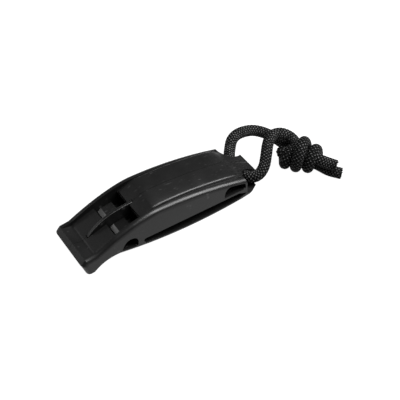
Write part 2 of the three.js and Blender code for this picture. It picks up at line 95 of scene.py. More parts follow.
# The knot lies on the ground. Its axis points to the tails; turn 0 is the top of a wrap and
# turn 0.25 its near side. The wraps are widest at the middle
KNOT_GROUND = Vector((89.45, -8.2, 0.0))
KNOT_AXIS = Vector((1.0, -1.006, 0.0)).normalized()
KNOT_UP = Vector((0.0, 0.0, 1.0))
KNOT_NEAR = KNOT_AXIS.cross(KNOT_UP)
KNOT_LIFT = 2.15  # of the lowest wraps' middle line above the ground
WIDE_WRAP_RADIUS = 4.95  # wraps at the middle, by the loop and by the tails
LOOP_WRAP_RADIUS = 2.7
TAIL_WRAP_RADIUS = 3.35
WRAP_TAPER = 3.2  # length in which the wraps narrow from the middle
WRAP_PITCH = 4.25
WRAP_POINTS = 12  # in one turn
FRONT_TURN = 0.125  # the turn that faces the camera
WRAP_START, WRAP_END = -1.375, 1.92  # turns, from the end by the tails
# Both ends of the wraps lead into the knot: from which turn, over what part of a turn,
# with what share of the radius lost, and how far along the axis
LEAD_IN, LEAD_IN_SPAN, LEAD_IN_LOSS, LEAD_IN_ALONG = -1.2, 0.3, 0.6, -0.5
LEAD_OUT, LEAD_OUT_SPAN, LEAD_OUT_LOSS, LEAD_OUT_ALONG = 1.3, 0.65, 0.5, 0.9
# The passes through the knot's middle: along its axis, to the near side, up
FAR_PASS_OUT = [(-4.2, -1.6, 0.2), (-1.0, -0.6, 0.0), (2.2, -0.9, 0.3), (4.8, -1.0, 0.5)]
FAR_PASS_BACK = [(-5.3, 0.5, 0.9), (-3.0, 0.7, -0.5), (0.0, 0.6, -1.2)]
NEAR_PASS = [(0.9, 0.4, 1.2)]

# Braid: the sides of the core, and the loose fibres at a cut end
CORE_SIDES = 16
CUT_FIBRES = 46

# Mouldings, in millimetres and degrees
PLASTIC = "moulded_abs_black"
MERGED = 0.005  # points nearer than this are one
FLAT_TURN = 1.0  # between two faces that count as one
EDGE_TURN = 35  # the least turn of an edge that is rounded
SHARP_TURN = 32  # the least turn that stays sharp after the rounding
RUB_AND_HIGHLIGHT_TURN = 8  # the least turn, on a rounded edge, that hands rub and that gets a painted highlight
ROUND_STEPS = 4  # rows of faces on a rounded edge
# Box inside the windows where the edges that split the air stay crisp
CRISP_LOW, CRISP_HIGH = (14.2, -8.25, 5.5), (23.0, 8.25, 8.35)
# The splitters' upper line, along from the lip and up, between the walls' inner faces
SPLITTER_LINE = [(15.7, 5.9), (17.0, 6.95), (21.2, 7.6)]
WALL_INNER = 8.2
BEVEL_HIGHLIGHT_SHARE = 0.7  # share of the paler edge colour painted on the splitters' bevels as a highlight
# The front holes' inner rims: how near the wall's face, and from below to above the line
RIM_TO_WALL, RIM_BELOW, RIM_ABOVE = 0.06, 0.01, 0.3
# The lip's lower edge stands forward, the more the further below its nose, and its corners
# are full: by how much, where that starts, and the length in which it fades
LIP_FORWARD, LIP_FULL = 1.0, 0.35
LIP_BACK_X, LIP_CORNER_Y, LIP_NOSE_Z = 6.0, 8.0, 3.5
LIP_FADE_X, LIP_FADE_Y = 3.4, 2.4
# The tail's lower corners are drawn in: by how much, where that starts, and in what length
TAIL_IN_X, TAIL_IN_Y = 0.45, 0.7
TAIL_CORNER_X, TAIL_CORNER_Y, TAIL_CORNER_Z = 66.0, 6.0, 3.2
TAIL_FADE_X, TAIL_FADE_Y = 3.0, 2.5
# Room for the cord's yarns as it swings: the tunnel's mouths flare, and the ledge below is lower
MOUTH_FLARE, LEDGE_DROP = 0.12, 0.2
MOUTH_Y, LEDGE_Y = 3.5, 3.8  # both lie further out than this
MOUTH_LEAST, MOUTH_MOST = 2.1, 2.4  # the mouths' points lie between these radii
LEDGE_LOW, LEDGE_HIGH = 2.4, 2.8  # and the ledge's between these heights
# The rib over the deck and the windows rises in an arch: its start, its pull and its end
RIB_START, RIB_PULL, RIB_END = (7.3, 5.932), (13.0, 12.5), (25.0, 12.6)
RIB_STEPS = 16
RIB_NEAR, STATION_NEAR = 0.02, 0.01  # what counts as on the straight edge and at a station
# The halves meet closed at the lip and in a fine line over the crown
SEAM_OPEN_X = 23.0  # the line starts here
SEAM_SHARE = 0.4  # of the rounding on other edges
SEAM_NEAR = 0.01  # what counts as on the seam

# The photograph's camera: its place in millimetres from the lip's edge, its turn in degrees
CAMERA_PLACE = (-73.48, -205.91, 241.38)
CAMERA_TURN = (44.701, 1.409, -32.727)
SENSOR_WIDTH = 36
# Stage, in metres: the lights from the whistle's middle, their sizes, and half the floor
KEY_PLACE, KEY_SIZE = Vector((0.225, -0.11, 0.43)), (0.3, 0.5)
FILL_PLACE, FILL_SIZE = Vector((-0.40, 0.36, 0.27)), (0.4, 0.4)
FLOOR_HALF = 1.5


def linear(code):
    """Linear RGBA of an sRGB hex colour."""
    channels = [int(code[i:i + 2], 16) / 255 for i in (0, 2, 4)]
    return tuple(
        c / 12.92 if c <= 0.04045 else ((c + 0.055) / 1.055) ** 2.4 for c in channels
    ) + (1.0,)


def add_node(tree, kind, inputs=None, **settings):
    """A node with its settings. An input is a value, a socket or a node's first output."""
    node = tree.nodes.new(kind)
    for name, value in settings.items():
        setattr(node, name, value)
    for name, value in (inputs or {}).items():
        if isinstance(value, bpy.types.Node):
            value = value.outputs[0]
        if isinstance(value, bpy.types.NodeSocket):
            tree.links.new(value, node.inputs[name])
        else:
            node.inputs[name].default_value = value
    return node


class WhistleShellSettings(bpy.types.PropertyGroup):
    """Finish of the moulded halves and of the plate between them"""

    colour: FloatVectorProperty(
        name="Plastic", description="Colour of the moulded plastic",
        subtype="COLOR", size=4, min=0, max=1, default=linear("0c0c0c"))
    # Paler colour of the edges where hands rub, also a painted highlight there and on the
    # splitters' bevels
    rubbed_and_highlight: FloatVectorProperty(
        name="Rubbed plastic", description="Colour where handling has rubbed the plastic",
        subtype="COLOR", size=4, min=0, max=1, default=linear("494949"))
    edge_round: FloatProperty(
        name="Edge rounding", description="Width of the rounding on moulded edges",
        unit="LENGTH", min=0, precision=5, default=0.22 * MM)
    grain: FloatProperty(
        name="Mould grain", description="Size of the mould's texture, coarser than real to show",
        unit="LENGTH", min=0.01 * MM, precision=5, default=0.45 * MM)


class WhistleCordSettings(bpy.types.PropertyGroup):
    """Make of the braided cord"""

    diameter: FloatProperty(
        name="Diameter", description="Diameter of the cord under the crests of its yarns",
        unit="LENGTH", min=0.5 * MM, precision=5, default=3.8 * MM)
    lay: FloatProperty(
        name="Lay", description="Length of cord in which one yarn goes round once",
        unit="LENGTH", min=MM, precision=5, default=8.6 * MM)
    carriers: IntProperty(
        name="Yarns", description="Number of braided yarns", min=8, max=48, default=16)
    yarn_width: FloatProperty(
        name="Yarn width", description="Width of one yarn where it lies on top",
        unit="LENGTH", min=0.1 * MM, precision=5, default=0.86 * MM)
    yarn_float: FloatProperty(
        name="Yarn float", description="Length of a yarn that shows between two crossings",
        unit="LENGTH", min=0.1 * MM, precision=5, default=1.6 * MM)
    yarn_bulge: FloatProperty(
        name="Yarn bulge", description="Thickness of one yarn",
        unit="LENGTH", min=0.05 * MM, precision=5, default=0.42 * MM)
    fray: FloatProperty(
        name="Fray", description="Length of the loose fibres at a cut end",
        unit="LENGTH", min=0, precision=5, default=0.9 * MM)
    colour: FloatVectorProperty(
        name="Yarn", description="Colour of the yarn",
        subtype="COLOR", size=4, min=0, max=1, default=linear("060606"))
    # Painted highlight: this colour is painted along the yarns' crests
    painted_highlight_colour: FloatVectorProperty(
        name="Lit yarn", description="Colour of the yarns that catch more light",
        subtype="COLOR", size=4, min=0, max=1, default=linear("636363"))


class WhistleStageSettings(bpy.types.PropertyGroup):
    """Camera, floor and light"""

    lens: FloatProperty(
        name="Lens", description="Focal length of the camera",
        unit="CAMERA", min=10, default=86.7)
    floor: FloatVectorProperty(
        name="Floor", description="Colour of the floor when it isn't lit from below",
        subtype="COLOR", size=4, min=0, max=1, default=linear("3a3a3a"))
    glow: FloatProperty(
        name="Table light", description="Strength of the light from below the floor",
        min=0, default=1.0)
    sky: FloatProperty(
        name="Room light", description="Strength of the even light from all round",
        min=0, default=0.08)
    key_power: FloatProperty(
        name="Key light", description="Power of the large soft light above the tail's near side",
        unit="POWER", min=0, default=10.5)
    fill_power: FloatProperty(
        name="Fill light", description="Power of the wide soft light beyond the lip's far side",
        unit="POWER", min=0, default=0.8)


def user_settings(context):
    """The settings of the shells, of the cord and of the stage."""
    scene = context.scene
    return scene.whistle_shell, scene.whistle_cord, scene.whistle_stage


def in_frame(point):
    """A point given in millimetres from the lip's edge, in metres in the shared frame."""
    x, y, z = point
    return Vector((x * MM + LIP_X, y * MM, z * MM))


def from_lip(place):
    """A place in the shared frame in millimetres from the lip's edge: along, across, up."""
    return (place.x - LIP_X) / MM, place.y / MM, place.z / MM


def clamped(value):
    return min(1.0, max(0.0, value))


def as_plain_mesh(piece):
    """Replaces the piece's mesh by its evaluated one and takes its modifiers off."""
    evaluated = piece.evaluated_get(bpy.context.evaluated_depsgraph_get())
    finished = bpy.data.meshes.new_from_object(evaluated)
    piece.modifiers.clear()
    rough, piece.data = piece.data, finished
    finished.name = piece.name
    bpy.data.meshes.remove(rough)


# Cord

def wrap_radius(along):
    least = TAIL_WRAP_RADIUS if along > 0 else LOOP_WRAP_RADIUS
    reach = min(1, abs(along) / WRAP_TAPER)
    return least + (WIDE_WRAP_RADIUS - least) * (1 + math.cos(math.pi * reach)) / 2


def knot_point(along, near, up):
    middle = KNOT_LIFT + wrap_radius(along)
    return KNOT_GROUND + KNOT_AXIS * along + KNOT_NEAR * near + KNOT_UP * (middle + up)


def knot_wraps():
    """Points of the wraps, from the end by the tails to the end by the loop."""
    points = []
    steps = round((WRAP_END - WRAP_START) * WRAP_POINTS)
    for i in range(steps + 1):
        turn = WRAP_START + (WRAP_END - WRAP_START) * i / steps
        lead_in = max(0, LEAD_IN - turn) / LEAD_IN_SPAN
        lead_out = max(0, turn - LEAD_OUT) / LEAD_OUT_SPAN
        along = WRAP_PITCH * (FRONT_TURN - turn)
        along += LEAD_OUT_ALONG * lead_out + LEAD_IN_ALONG * lead_in
        radius = wrap_radius(along) * (1 - LEAD_IN_LOSS * lead_in - LEAD_OUT_LOSS * lead_out)
        angle = 2 * math.pi * turn
        points.append(knot_point(along, radius * math.sin(angle), radius * math.cos(angle)))
    return points


def far_half():
    return (
        [TUNNEL_MIDDLE] + FAR_LOOP
        + [knot_point(*q) for q in FAR_PASS_OUT] + knot_wraps()
        + [knot_point(*q) for q in FAR_PASS_BACK] + LOWER_TAIL
    )


def near_half():
    return [TUNNEL_MIDDLE] + NEAR_LOOP + [knot_point(*q) for q in NEAR_PASS] + UPPER_TAIL


def smooth_route(points, step, fineness=24):
    """A centripetal curve through the points, as points a step apart."""
    p = [Vector(q) for q in points]
    p = [2 * p[0] - p[1]] + p + [2 * p[-1] - p[-2]]
    fine = []
    for a, b, c, d in zip(p, p[1:], p[2:], p[3:]):
        t1 = math.sqrt((b - a).length)
        t2 = t1 + math.sqrt((c - b).length)
        t3 = t2 + math.sqrt((d - c).length)
        for i in range(fineness):
            t = t1 + (t2 - t1) * i / fineness
            ab = a.lerp(b, t / t1)
            bc = b.lerp(c, (t - t1) / (t2 - t1))
            cd = c.lerp(d, (t - t2) / (t3 - t2))
            abc = ab.lerp(bc, t / t2)
            bcd = bc.lerp(cd, (t - t1) / (t3 - t1))
            fine.append(abc.lerp(bcd, (t - t1) / (t2 - t1)))
    fine.append(p[-2])
    spaced, left = [fine[0]], step
    for a, b in zip(fine, fine[1:]):
        span = (b - a).length
        while left < span:
            spaced.append(a.lerp(b, left / span))
            left += step
        left -= span
    return spaced


def braided_polyester(cord):
    """Braided polyester: dull black filament yarn. Each yarn is a soft bump with a painted
    highlight, a faint streak along its crest, and the hollows between the yarns stay fully dark."""
    material = bpy.data.materials.new("braided_polyester_black")
    material.use_nodes = True
    tree = material.node_tree
    shader = tree.nodes["Principled BSDF"]
    crest = add_node(tree, "ShaderNodeAttribute", attribute_name="yarn_crest_highlight").outputs["Fac"]
    tone = add_node(tree, "ShaderNodeAttribute", attribute_name="yarn_tone").outputs["Fac"]
    # Painted highlight: near each crest the yarn colour turns to the highlight colour, more on
    # some yarns than others
    lit = add_node(tree, "ShaderNodeMapRange", {"Value": crest, "From Min": 0.7, "From Max": 1.0})
    uneven = add_node(tree, "ShaderNodeMapRange", {"Value": tone, "To Min": 0.25, "To Max": 1.0})
    highlight_amount = add_node(tree, "ShaderNodeMath", {0: lit, 1: uneven}, operation="MULTIPLY")
    mix = add_node(
        tree, "ShaderNodeMix", {0: highlight_amount, 6: cord.colour, 7: cord.painted_highlight_colour}, data_type="RGBA")
    filament = 0.12 * MM  # coarser than real filaments, so that it shows
    place = add_node(tree, "ShaderNodeTexCoord").outputs["Object"]
    fibres = add_node(
        tree, "ShaderNodeTexNoise", {"Vector": place, "Scale": 1 / filament, "Detail": 2.0})
    bump = add_node(
        tree, "ShaderNodeBump", {"Height": fibres, "Strength": 0.5, "Distance": 0.04 * MM})
    tree.links.new(mix.outputs[2], shader.inputs["Base Color"])
    tree.links.new(bump.outputs["Normal"], shader.inputs["Normal"])
    shader.inputs["Roughness"].default_value = 0.7
    shader.inputs["IOR"].default_value = 1.5
    shader.inputs["Specular IOR Level"].default_value = 0.05
    return material


def yarn_bump(tree):
    """The stretch of a yarn that shows, one unit long, with how near its crest a point is."""
    ball = add_node(
        tree, "GeometryNodeMeshUVSphere", {"Segments": 6, "Rings": 4, "Radius": 0.5})
    position = add_node(tree, "GeometryNodeInputPosition")
    outwards = add_node(tree, "ShaderNodeSeparateXYZ", {"Vector": position}).outputs["X"]
    crest = add_node(tree, "ShaderNodeMath", {0: outwards, 1: 2.0}, operation="MULTIPLY")
    # How near the crest a point is places the painted highlight in the cord's material
    return add_node(
        tree, "GeometryNodeStoreNamedAttribute",
        {"Geometry": ball, "Name": "yarn_crest_highlight", "Value": crest},
        data_type="FLOAT", domain="POINT")


def away_from_path(tree, tangent, normal, angle):
    """Direction away from the path, at an angle round it."""
    side = add_node(
        tree, "ShaderNodeVectorMath", {0: tangent, 1: normal}, operation="CROSS_PRODUCT")
    cosine = add_node(tree, "ShaderNodeMath", {0: angle}, operation="COSINE")
    sine = add_node(tree, "ShaderNodeMath", {0: angle}, operation="SINE")
    first = add_node(
        tree, "ShaderNodeVectorMath", {0: normal, "Scale": cosine}, operation="SCALE")
    second = add_node(tree, "ShaderNodeVectorMath", {0: side, "Scale": sine}, operation="SCALE")
    return add_node(tree, "ShaderNodeVectorMath", {0: first, 1: second}, operation="ADD")


def braided_yarns(tree, given, curve, radius, spacing, bump):
    """Yarns in two hands: rings of bumps along the path, every second one of the other hand."""
    rows = add_node(
        tree, "GeometryNodeCurveToPoints", {"Curve": curve, "Length": spacing}, mode="LENGTH")
    index = add_node(tree, "GeometryNodeInputIndex")
    parity = add_node(tree, "ShaderNodeMath", {0: index, 1: 2.0}, operation="MODULO")
    marked = add_node(tree, "GeometryNodeCaptureAttribute", {"Geometry": rows})
    marked.capture_items.new("FLOAT", "Hand")
    tree.links.new(parity.outputs[0], marked.inputs["Hand"])
    hand = marked.outputs["Hand"]
    in_ring = add_node(
        tree, "ShaderNodeMath", {0: given["Carriers"], 1: 2.0}, operation="DIVIDE")
    ring = add_node(
        tree, "GeometryNodeDuplicateElements", {"Geometry": marked, "Amount": in_ring},
        domain="POINT")

    # Places in a ring, half a place on in every second ring
    half_step = add_node(tree, "ShaderNodeMath", {0: hand, 1: 0.5}, operation="MULTIPLY")
    place = add_node(
        tree, "ShaderNodeMath", {0: ring.outputs["Duplicate Index"], 1: half_step},
        operation="ADD")
    turn = add_node(tree, "ShaderNodeMath", {0: place, 1: in_ring}, operation="DIVIDE")
    angle = add_node(tree, "ShaderNodeMath", {0: turn, 1: 2 * math.pi}, operation="MULTIPLY")
    tangent = rows.outputs["Tangent"]
    radial = away_from_path(tree, tangent, rows.outputs["Normal"], angle)

    # A yarn goes one lay along for once round, to the left or to the right
    around = add_node(
        tree, "ShaderNodeVectorMath", {0: tangent, 1: radial}, operation="CROSS_PRODUCT")
    twice = add_node(tree, "ShaderNodeMath", {0: hand, 1: 2.0}, operation="MULTIPLY")
    way_round = add_node(tree, "ShaderNodeMath", {0: 1.0, 1: twice}, operation="SUBTRACT")
    girth = add_node(tree, "ShaderNodeMath", {0: radius, 1: 2 * math.pi}, operation="MULTIPLY")
    round_once = add_node(
        tree, "ShaderNodeMath", {0: girth, 1: way_round}, operation="MULTIPLY")
    along = add_node(
        tree, "ShaderNodeVectorMath", {0: tangent, "Scale": given["Lay"]}, operation="SCALE")
    across = add_node(
        tree, "ShaderNodeVectorMath", {0: around, "Scale": round_once}, operation="SCALE")
    heading = add_node(tree, "ShaderNodeVectorMath", {0: along, 1: across}, operation="ADD")
    facing = add_node(
        tree, "FunctionNodeAxesToRotation", {"Primary Axis": heading, "Secondary Axis": radial},
        primary_axis="Z", secondary_axis="X")

    outward = add_node(
        tree, "ShaderNodeVectorMath", {0: radial, "Scale": radius}, operation="SCALE")
    set_out = add_node(
        tree, "GeometryNodeSetPosition", {"Geometry": ring, "Offset": outward})
    tone = add_node(
        tree, "FunctionNodeRandomValue", {"Seed": given["Seed"]}, data_type="FLOAT").outputs[1]
    toned = add_node(
        tree, "GeometryNodeStoreNamedAttribute",
        {"Geometry": set_out, "Name": "yarn_tone", "Value": tone},
        data_type="FLOAT", domain="POINT")
    size = add_node(
        tree, "ShaderNodeCombineXYZ",
        {"X": given["Yarn bulge"], "Y": given["Yarn width"], "Z": given["Yarn float"]})
    return add_node(
        tree, "GeometryNodeInstanceOnPoints",
        {"Points": toned, "Instance": bump, "Rotation": facing, "Scale": size})


def cord_core(tree, curve, radius, spacing):
    """The round core that the yarns lie on."""
    section = add_node(
        tree, "GeometryNodeCurvePrimitiveCircle", {"Resolution": CORE_SIDES, "Radius": radius})
    evened = add_node(
        tree, "GeometryNodeResampleCurve", {"Curve": curve, "Length": spacing}, mode="LENGTH")
    return add_node(
        tree, "GeometryNodeCurveToMesh",
        {"Curve": evened, "Profile Curve": section, "Fill Caps": True})


def cut_end(tree, given, curve, radius, bump):
    """Loose fibres at the path's end, spread over the cord's section and leaning outwards."""
    end = add_node(
        tree, "GeometryNodeSampleCurve", {"Curves": curve, "Factor": 1.0}, mode="FACTOR")
    tangent = end.outputs["Tangent"]
    spin = add_node(
        tree, "FunctionNodeRandomValue", {"Min": 0.0, "Max": 2 * math.pi, "Seed": given["Seed"]},
        data_type="FLOAT").outputs[1]
    reach = add_node(
        tree, "FunctionNodeRandomValue", {"Min": 0.1, "Max": 1.0, "Seed": 7},
        data_type="FLOAT").outputs[1]
    lean = add_node(
        tree, "FunctionNodeRandomValue", {"Min": -0.1, "Max": 0.5, "Seed": 11},
        data_type="FLOAT").outputs[1]
    length = add_node(
        tree, "FunctionNodeRandomValue", {"Min": 0.5, "Max": 2.0, "Seed": 13},
        data_type="FLOAT").outputs[1]
    outward = away_from_path(tree, tangent, end.outputs["Normal"], spin)

    # The root lets the fibres lie evenly over the section
    root = add_node(tree, "ShaderNodeMath", {0: reach}, operation="SQRT")
    spread = add_node(tree, "ShaderNodeMath", {0: root, 1: radius}, operation="MULTIPLY")
    aside = add_node(
        tree, "ShaderNodeVectorMath", {0: outward, "Scale": spread}, operation="SCALE")
    seat = add_node(
        tree, "ShaderNodeVectorMath", {0: end.outputs["Position"], 1: aside}, operation="ADD")
    fibres = add_node(tree, "GeometryNodePoints", {"Count": CUT_FIBRES})
    placed = add_node(tree, "GeometryNodeSetPosition", {"Geometry": fibres, "Position": seat})

    leaning = add_node(
        tree, "ShaderNodeVectorMath", {0: outward, "Scale": lean}, operation="SCALE")
    heading = add_node(
        tree, "ShaderNodeVectorMath", {0: tangent, 1: leaning}, operation="ADD")
    upright = add_node(
        tree, "FunctionNodeAxesToRotation", {"Primary Axis": heading, "Secondary Axis": outward},
        primary_axis="Z", secondary_axis="X")
    width = add_node(
        tree, "ShaderNodeMath", {0: given["Yarn width"], 1: 0.5}, operation="MULTIPLY")
    height = add_node(tree, "ShaderNodeMath", {0: given["Fray"], 1: length}, operation="MULTIPLY")
    size = add_node(tree, "ShaderNodeCombineXYZ", {"X": width, "Y": width, "Z": height})
    return add_node(
        tree, "GeometryNodeInstanceOnPoints",
        {"Points": placed, "Instance": bump, "Rotation": upright, "Scale": size})


def braid_tree(material):
    """Braid round a path: yarn bumps in two hands on a core, and loose fibres at the end."""
    tree = bpy.data.node_groups.new("Braided cord", "GeometryNodeTree")
    tree.is_modifier = True
    face = tree.interface
    face.new_socket("Path", in_out="INPUT", socket_type="NodeSocketGeometry")
    for name in ("Diameter", "Lay", "Yarn width", "Yarn float", "Yarn bulge", "Fray"):
        face.new_socket(name, in_out="INPUT", socket_type="NodeSocketFloat")
    for name in ("Carriers", "Seed"):
        face.new_socket(name, in_out="INPUT", socket_type="NodeSocketInt")
    face.new_socket("Cord", in_out="OUTPUT", socket_type="NodeSocketGeometry")
    given = add_node(tree, "NodeGroupInput").outputs

    curve = add_node(tree, "GeometryNodeMeshToCurve", {"Mesh": given["Path"]})
    radius = add_node(tree, "ShaderNodeMath", {0: given["Diameter"], 1: 2.0}, operation="DIVIDE")
    spacing = add_node(
        tree, "ShaderNodeMath", {0: given["Lay"], 1: given["Carriers"]}, operation="DIVIDE")
    bump = yarn_bump(tree)
    joined = add_node(tree, "GeometryNodeJoinGeometry")
    for part in (
        cut_end(tree, given, curve, radius, bump),
        cord_core(tree, curve, radius, spacing),
        braided_yarns(tree, given, curve, radius, spacing, bump),
    ):
        tree.links.new(part.outputs[0], joined.inputs[0])
    solid = add_node(tree, "GeometryNodeRealizeInstances", {"Geometry": joined})
    smooth = add_node(tree, "GeometryNodeSetShadeSmooth", {"Geometry": solid})
    covered = add_node(
        tree, "GeometryNodeSetMaterial", {"Geometry": smooth, "Material": material})
    add_node(tree, "NodeGroupOutput", {"Cord": covered})
    return tree


def braid(name, points, cord, tree, seed):
    """One half of the cord as a braided mesh, and the line that it follows."""
    line = [in_frame(q) for q in smooth_route(points, ROUTE_STEP)]
    mesh = bpy.data.meshes.new(name)
    mesh.from_pydata(line, [(i, i + 1) for i in range(len(line) - 1)], [])
    piece = bpy.data.objects.new(name, mesh)
    bpy.context.scene.collection.objects.link(piece)
    modifier = piece.modifiers.new("Braid", "NODES")
    modifier.node_group = tree
    values = {
        "Diameter": cord.diameter, "Lay": cord.lay, "Yarn width": cord.yarn_width,
        "Yarn float": cord.yarn_float, "Yarn bulge": cord.yarn_bulge, "Fray": cord.fray,
        "Carriers": cord.carriers, "Seed": seed,
    }
    for socket in tree.interface.items_tree:
        if socket.in_out == "INPUT" and socket.name in values:
            modifier[socket.identifier] = values[socket.name]
    as_plain_mesh(piece)
    return piece, line


class WHISTLE_OT_braid_cord(bpy.types.Operator):
    """Braid the two halves of the cord along their routes and tie them to the tail"""

    bl_idname = "whistle.braid_cord"
    bl_label = "Braid Cord"

    def execute(self, context):
        _, cord, _ = user_settings(context)
        tree = braid_tree(braided_polyester(cord))
        halves = [
            ("cord_far_half", far_half(), FAR_LOOP, ("cord_loop", "cord_knot", "cord_tail_lower")),
            ("cord_near_half", near_half(), NEAR_LOOP, ("cord_loop", "cord_tail_upper")),
        ]
        for seed, (name, points, loop, nodes) in enumerate(halves, 1):
            piece, line = braid(name, points, cord, tree, seed)
            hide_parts(*nodes)
            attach(piece, "cord")
        return {"FINISHED"}


# Shells

def nicks(tree, place):
    """Short nicks that run in two directions over the plastic, from none at 0 to full at 1."""
    length, width = 2.6 * MM, 0.6 * MM  # wider than real nicks, so that they show
    found = None
    for turn, start in ((0.35, 0.0), (-0.6, 3.0)):
        turned = add_node(
            tree, "ShaderNodeMapping",
            {"Vector": place, "Location": (start, start, start), "Rotation": (0, 0, turn),
             "Scale": (1 / length, 1 / width, 1 / length)})
        streaks = add_node(
            tree, "ShaderNodeTexNoise", {"Vector": turned, "Scale": 1.0, "Detail": 1.0})
        lines = add_node(
            tree, "ShaderNodeMapRange", {"Value": streaks, "From Min": 0.72, "From Max": 0.8})
        found = lines if found is None else add_node(
            tree, "ShaderNodeMath", {0: found, 1: lines}, operation="MAXIMUM")
    return found


def moulded_abs(shell):
    """Moulded ABS, satin black: even dark body with a fine mould grain that softens its
    highlights, a few short nicks from handling, paler edges, partly from rubbing and partly a
    painted highlight, and a painted highlight on the splitters' bevels."""
    material = bpy.data.materials.new(PLASTIC)
    material.use_nodes = True
    tree = material.node_tree
    shader = tree.nodes["Principled BSDF"]
    place = add_node(tree, "ShaderNodeTexCoord").outputs["Object"]
    handled_patch = 7 * MM
    handled = add_node(
        tree, "ShaderNodeTexNoise", {"Vector": place, "Scale": 1 / handled_patch, "Detail": 4.0})
    patchy = add_node(
        tree, "ShaderNodeMapRange",
        {"Value": handled, "From Min": 0.3, "From Max": 0.65, "To Min": 0.25})
    # The rounded edges are paler, partly from rubbing and partly as a painted highlight
    edges = add_node(tree, "ShaderNodeAttribute", attribute_name="rubbed_and_highlight").outputs["Fac"]
    rubbed_and_highlight = add_node(tree, "ShaderNodeMath", {0: edges, 1: patchy}, operation="MULTIPLY")
    nicked = add_node(
        tree, "ShaderNodeMath", {0: nicks(tree, place), 1: 0.25}, operation="MULTIPLY")
    # Marks from handling, with the painted edge highlight among them
    handling = add_node(tree, "ShaderNodeMath", {0: rubbed_and_highlight, 1: nicked}, operation="MAXIMUM")
    # Painted highlight on the splitters' bevels
    painted_bevel_highlight = add_node(tree, "ShaderNodeAttribute", attribute_name="painted_bevel_highlight").outputs["Fac"]
    wear_and_highlights = add_node(tree, "ShaderNodeMath", {0: handling, 1: painted_bevel_highlight}, operation="MAXIMUM")
    mix = add_node(
        tree, "ShaderNodeMix", {0: wear_and_highlights, 6: shell.colour, 7: shell.rubbed_and_highlight}, data_type="RGBA")
    gloss = add_node(
        tree, "ShaderNodeMapRange",
        {"Value": handled, "From Min": 0.3, "From Max": 0.7, "To Min": 0.30, "To Max": 0.40})
    grain = add_node(
        tree, "ShaderNodeTexNoise", {"Vector": place, "Scale": 1 / shell.grain, "Detail": 2.0})
    bump = add_node(
        tree, "ShaderNodeBump", {"Height": grain, "Strength": 0.25, "Distance": 0.05 * MM})
    tree.links.new(mix.outputs[2], shader.inputs["Base Color"])
    tree.links.new(gloss.outputs[0], shader.inputs["Roughness"])
    tree.links.new(bump.outputs["Normal"], shader.inputs["Normal"])
    shader.inputs["IOR"].default_value = 1.54
    shader.inputs["Specular IOR Level"].default_value = 0.2
    return material


def mark_wear_and_highlights(mesh, edge_round):
    """Stores where hands rub, with a painted highlight, on the middle rows of the rounded edges,
    and where a highlight is painted on the splitters' bevels."""
    body = bmesh.new()
    body.from_mesh(mesh)
    narrow = {
        f for f in body.faces
        if f.calc_area() < edge_round * max(e.calc_length() for e in f.edges)
    }
    # Middle rows of the rounded edges: rubbing, and a painted highlight
    rubbed_and_highlight = []
    for vert in body.verts:
        bend = max(edge.calc_face_angle(0.0) for edge in vert.link_edges)
        wear_and_highlights = narrow.issuperset(vert.link_faces) and bend > math.radians(RUB_AND_HIGHLIGHT_TURN)
        rubbed_and_highlight.append(1.0 if wear_and_highlights else 0.0)
    (x0, z0), (x1, z1) = SPLITTER_LINE[:2]
    painted_bevel_highlight = []
    # Painted highlight on the splitters' bevels that face the lip
    for face in body.faces:
        x, y, z = from_lip(face.calc_center_median())
        faces_lip = face.normal.x < -0.5
        bevel = faces_lip and x0 < x < x1 and z0 < z < z1 and abs(y) < WALL_INNER
        painted_bevel_highlight.append(BEVEL_HIGHLIGHT_SHARE if bevel else 0.0)
    mesh.attributes.new("rubbed_and_highlight", "FLOAT", "POINT").data.foreach_set("value", rubbed_and_highlight)
    mesh.attributes.new("painted_bevel_highlight", "FLOAT", "FACE").data.foreach_set("value", painted_bevel_highlight)
    body.free()


def lip_shift(x, y, z):
    """How far a point of the lip's lower edge goes forward, and out at the corners."""
    low = clamped(1 - z / LIP_NOSE_Z) * clamped((LIP_BACK_X - x) / LIP_FADE_X)
    corner = clamped((abs(y) - LIP_CORNER_Y) / LIP_FADE_Y)
    return -LIP_FORWARD * low, math.copysign(LIP_FULL * low * corner, y), 0.0


def tail_shift(x, y, z):
    """How far a point of the tail's lower corners is drawn in."""
    if z >= TAIL_CORNER_Z:
        return 0.0, 0.0, 0.0
    corner = clamped((x - TAIL_CORNER_X) / TAIL_FADE_X)
    corner *= clamped((abs(y) - TAIL_CORNER_Y) / TAIL_FADE_Y)
    return -TAIL_IN_X * corner, -math.copysign(TAIL_IN_Y * corner, y), 0.0


def mouth_shift(x, y, z):
    """How far a point of the tunnel's mouths goes away from the tunnel's axis."""
    along, up = x - TUNNEL_MIDDLE[0], z - TUNNEL_MIDDLE[2]
    ring = math.hypot(along, up)
    if abs(y) <= MOUTH_Y or not MOUTH_LEAST < ring < MOUTH_MOST:
        return 0.0, 0.0, 0.0
    return MOUTH_FLARE * along / ring, 0.0, MOUTH_FLARE * up / ring


def ledge_shift(x, y, z):
    """How far a point of the ledge below the tunnel's mouths goes down."""
    on_ledge = x > TAIL_CORNER_X and abs(y) > LEDGE_Y and LEDGE_LOW < z < LEDGE_HIGH
    return 0.0, 0.0, -LEDGE_DROP if on_ledge else 0.0


def close_rims(body):
    """Brings the front holes' inner rims down to the splitters' upper line, so that no light
    comes in over it."""
    for vert in body.verts:
        x, y, z = from_lip(vert.co)
        if abs(abs(y) - WALL_INNER) > RIM_TO_WALL:
            continue
        for (x0, z0), (x1, z1) in zip(SPLITTER_LINE, SPLITTER_LINE[1:]):
            line = z0 + (z1 - z0) * (x - x0) / (x1 - x0)
            if x0 < x <= x1 and line - RIM_BELOW < z < line + RIM_ABOVE:
                vert.co.y = math.copysign(WALL_INNER, y) * MM
                vert.co.z = line * MM
    bmesh.ops.remove_doubles(body, verts=body.verts, dist=MERGED * MM)


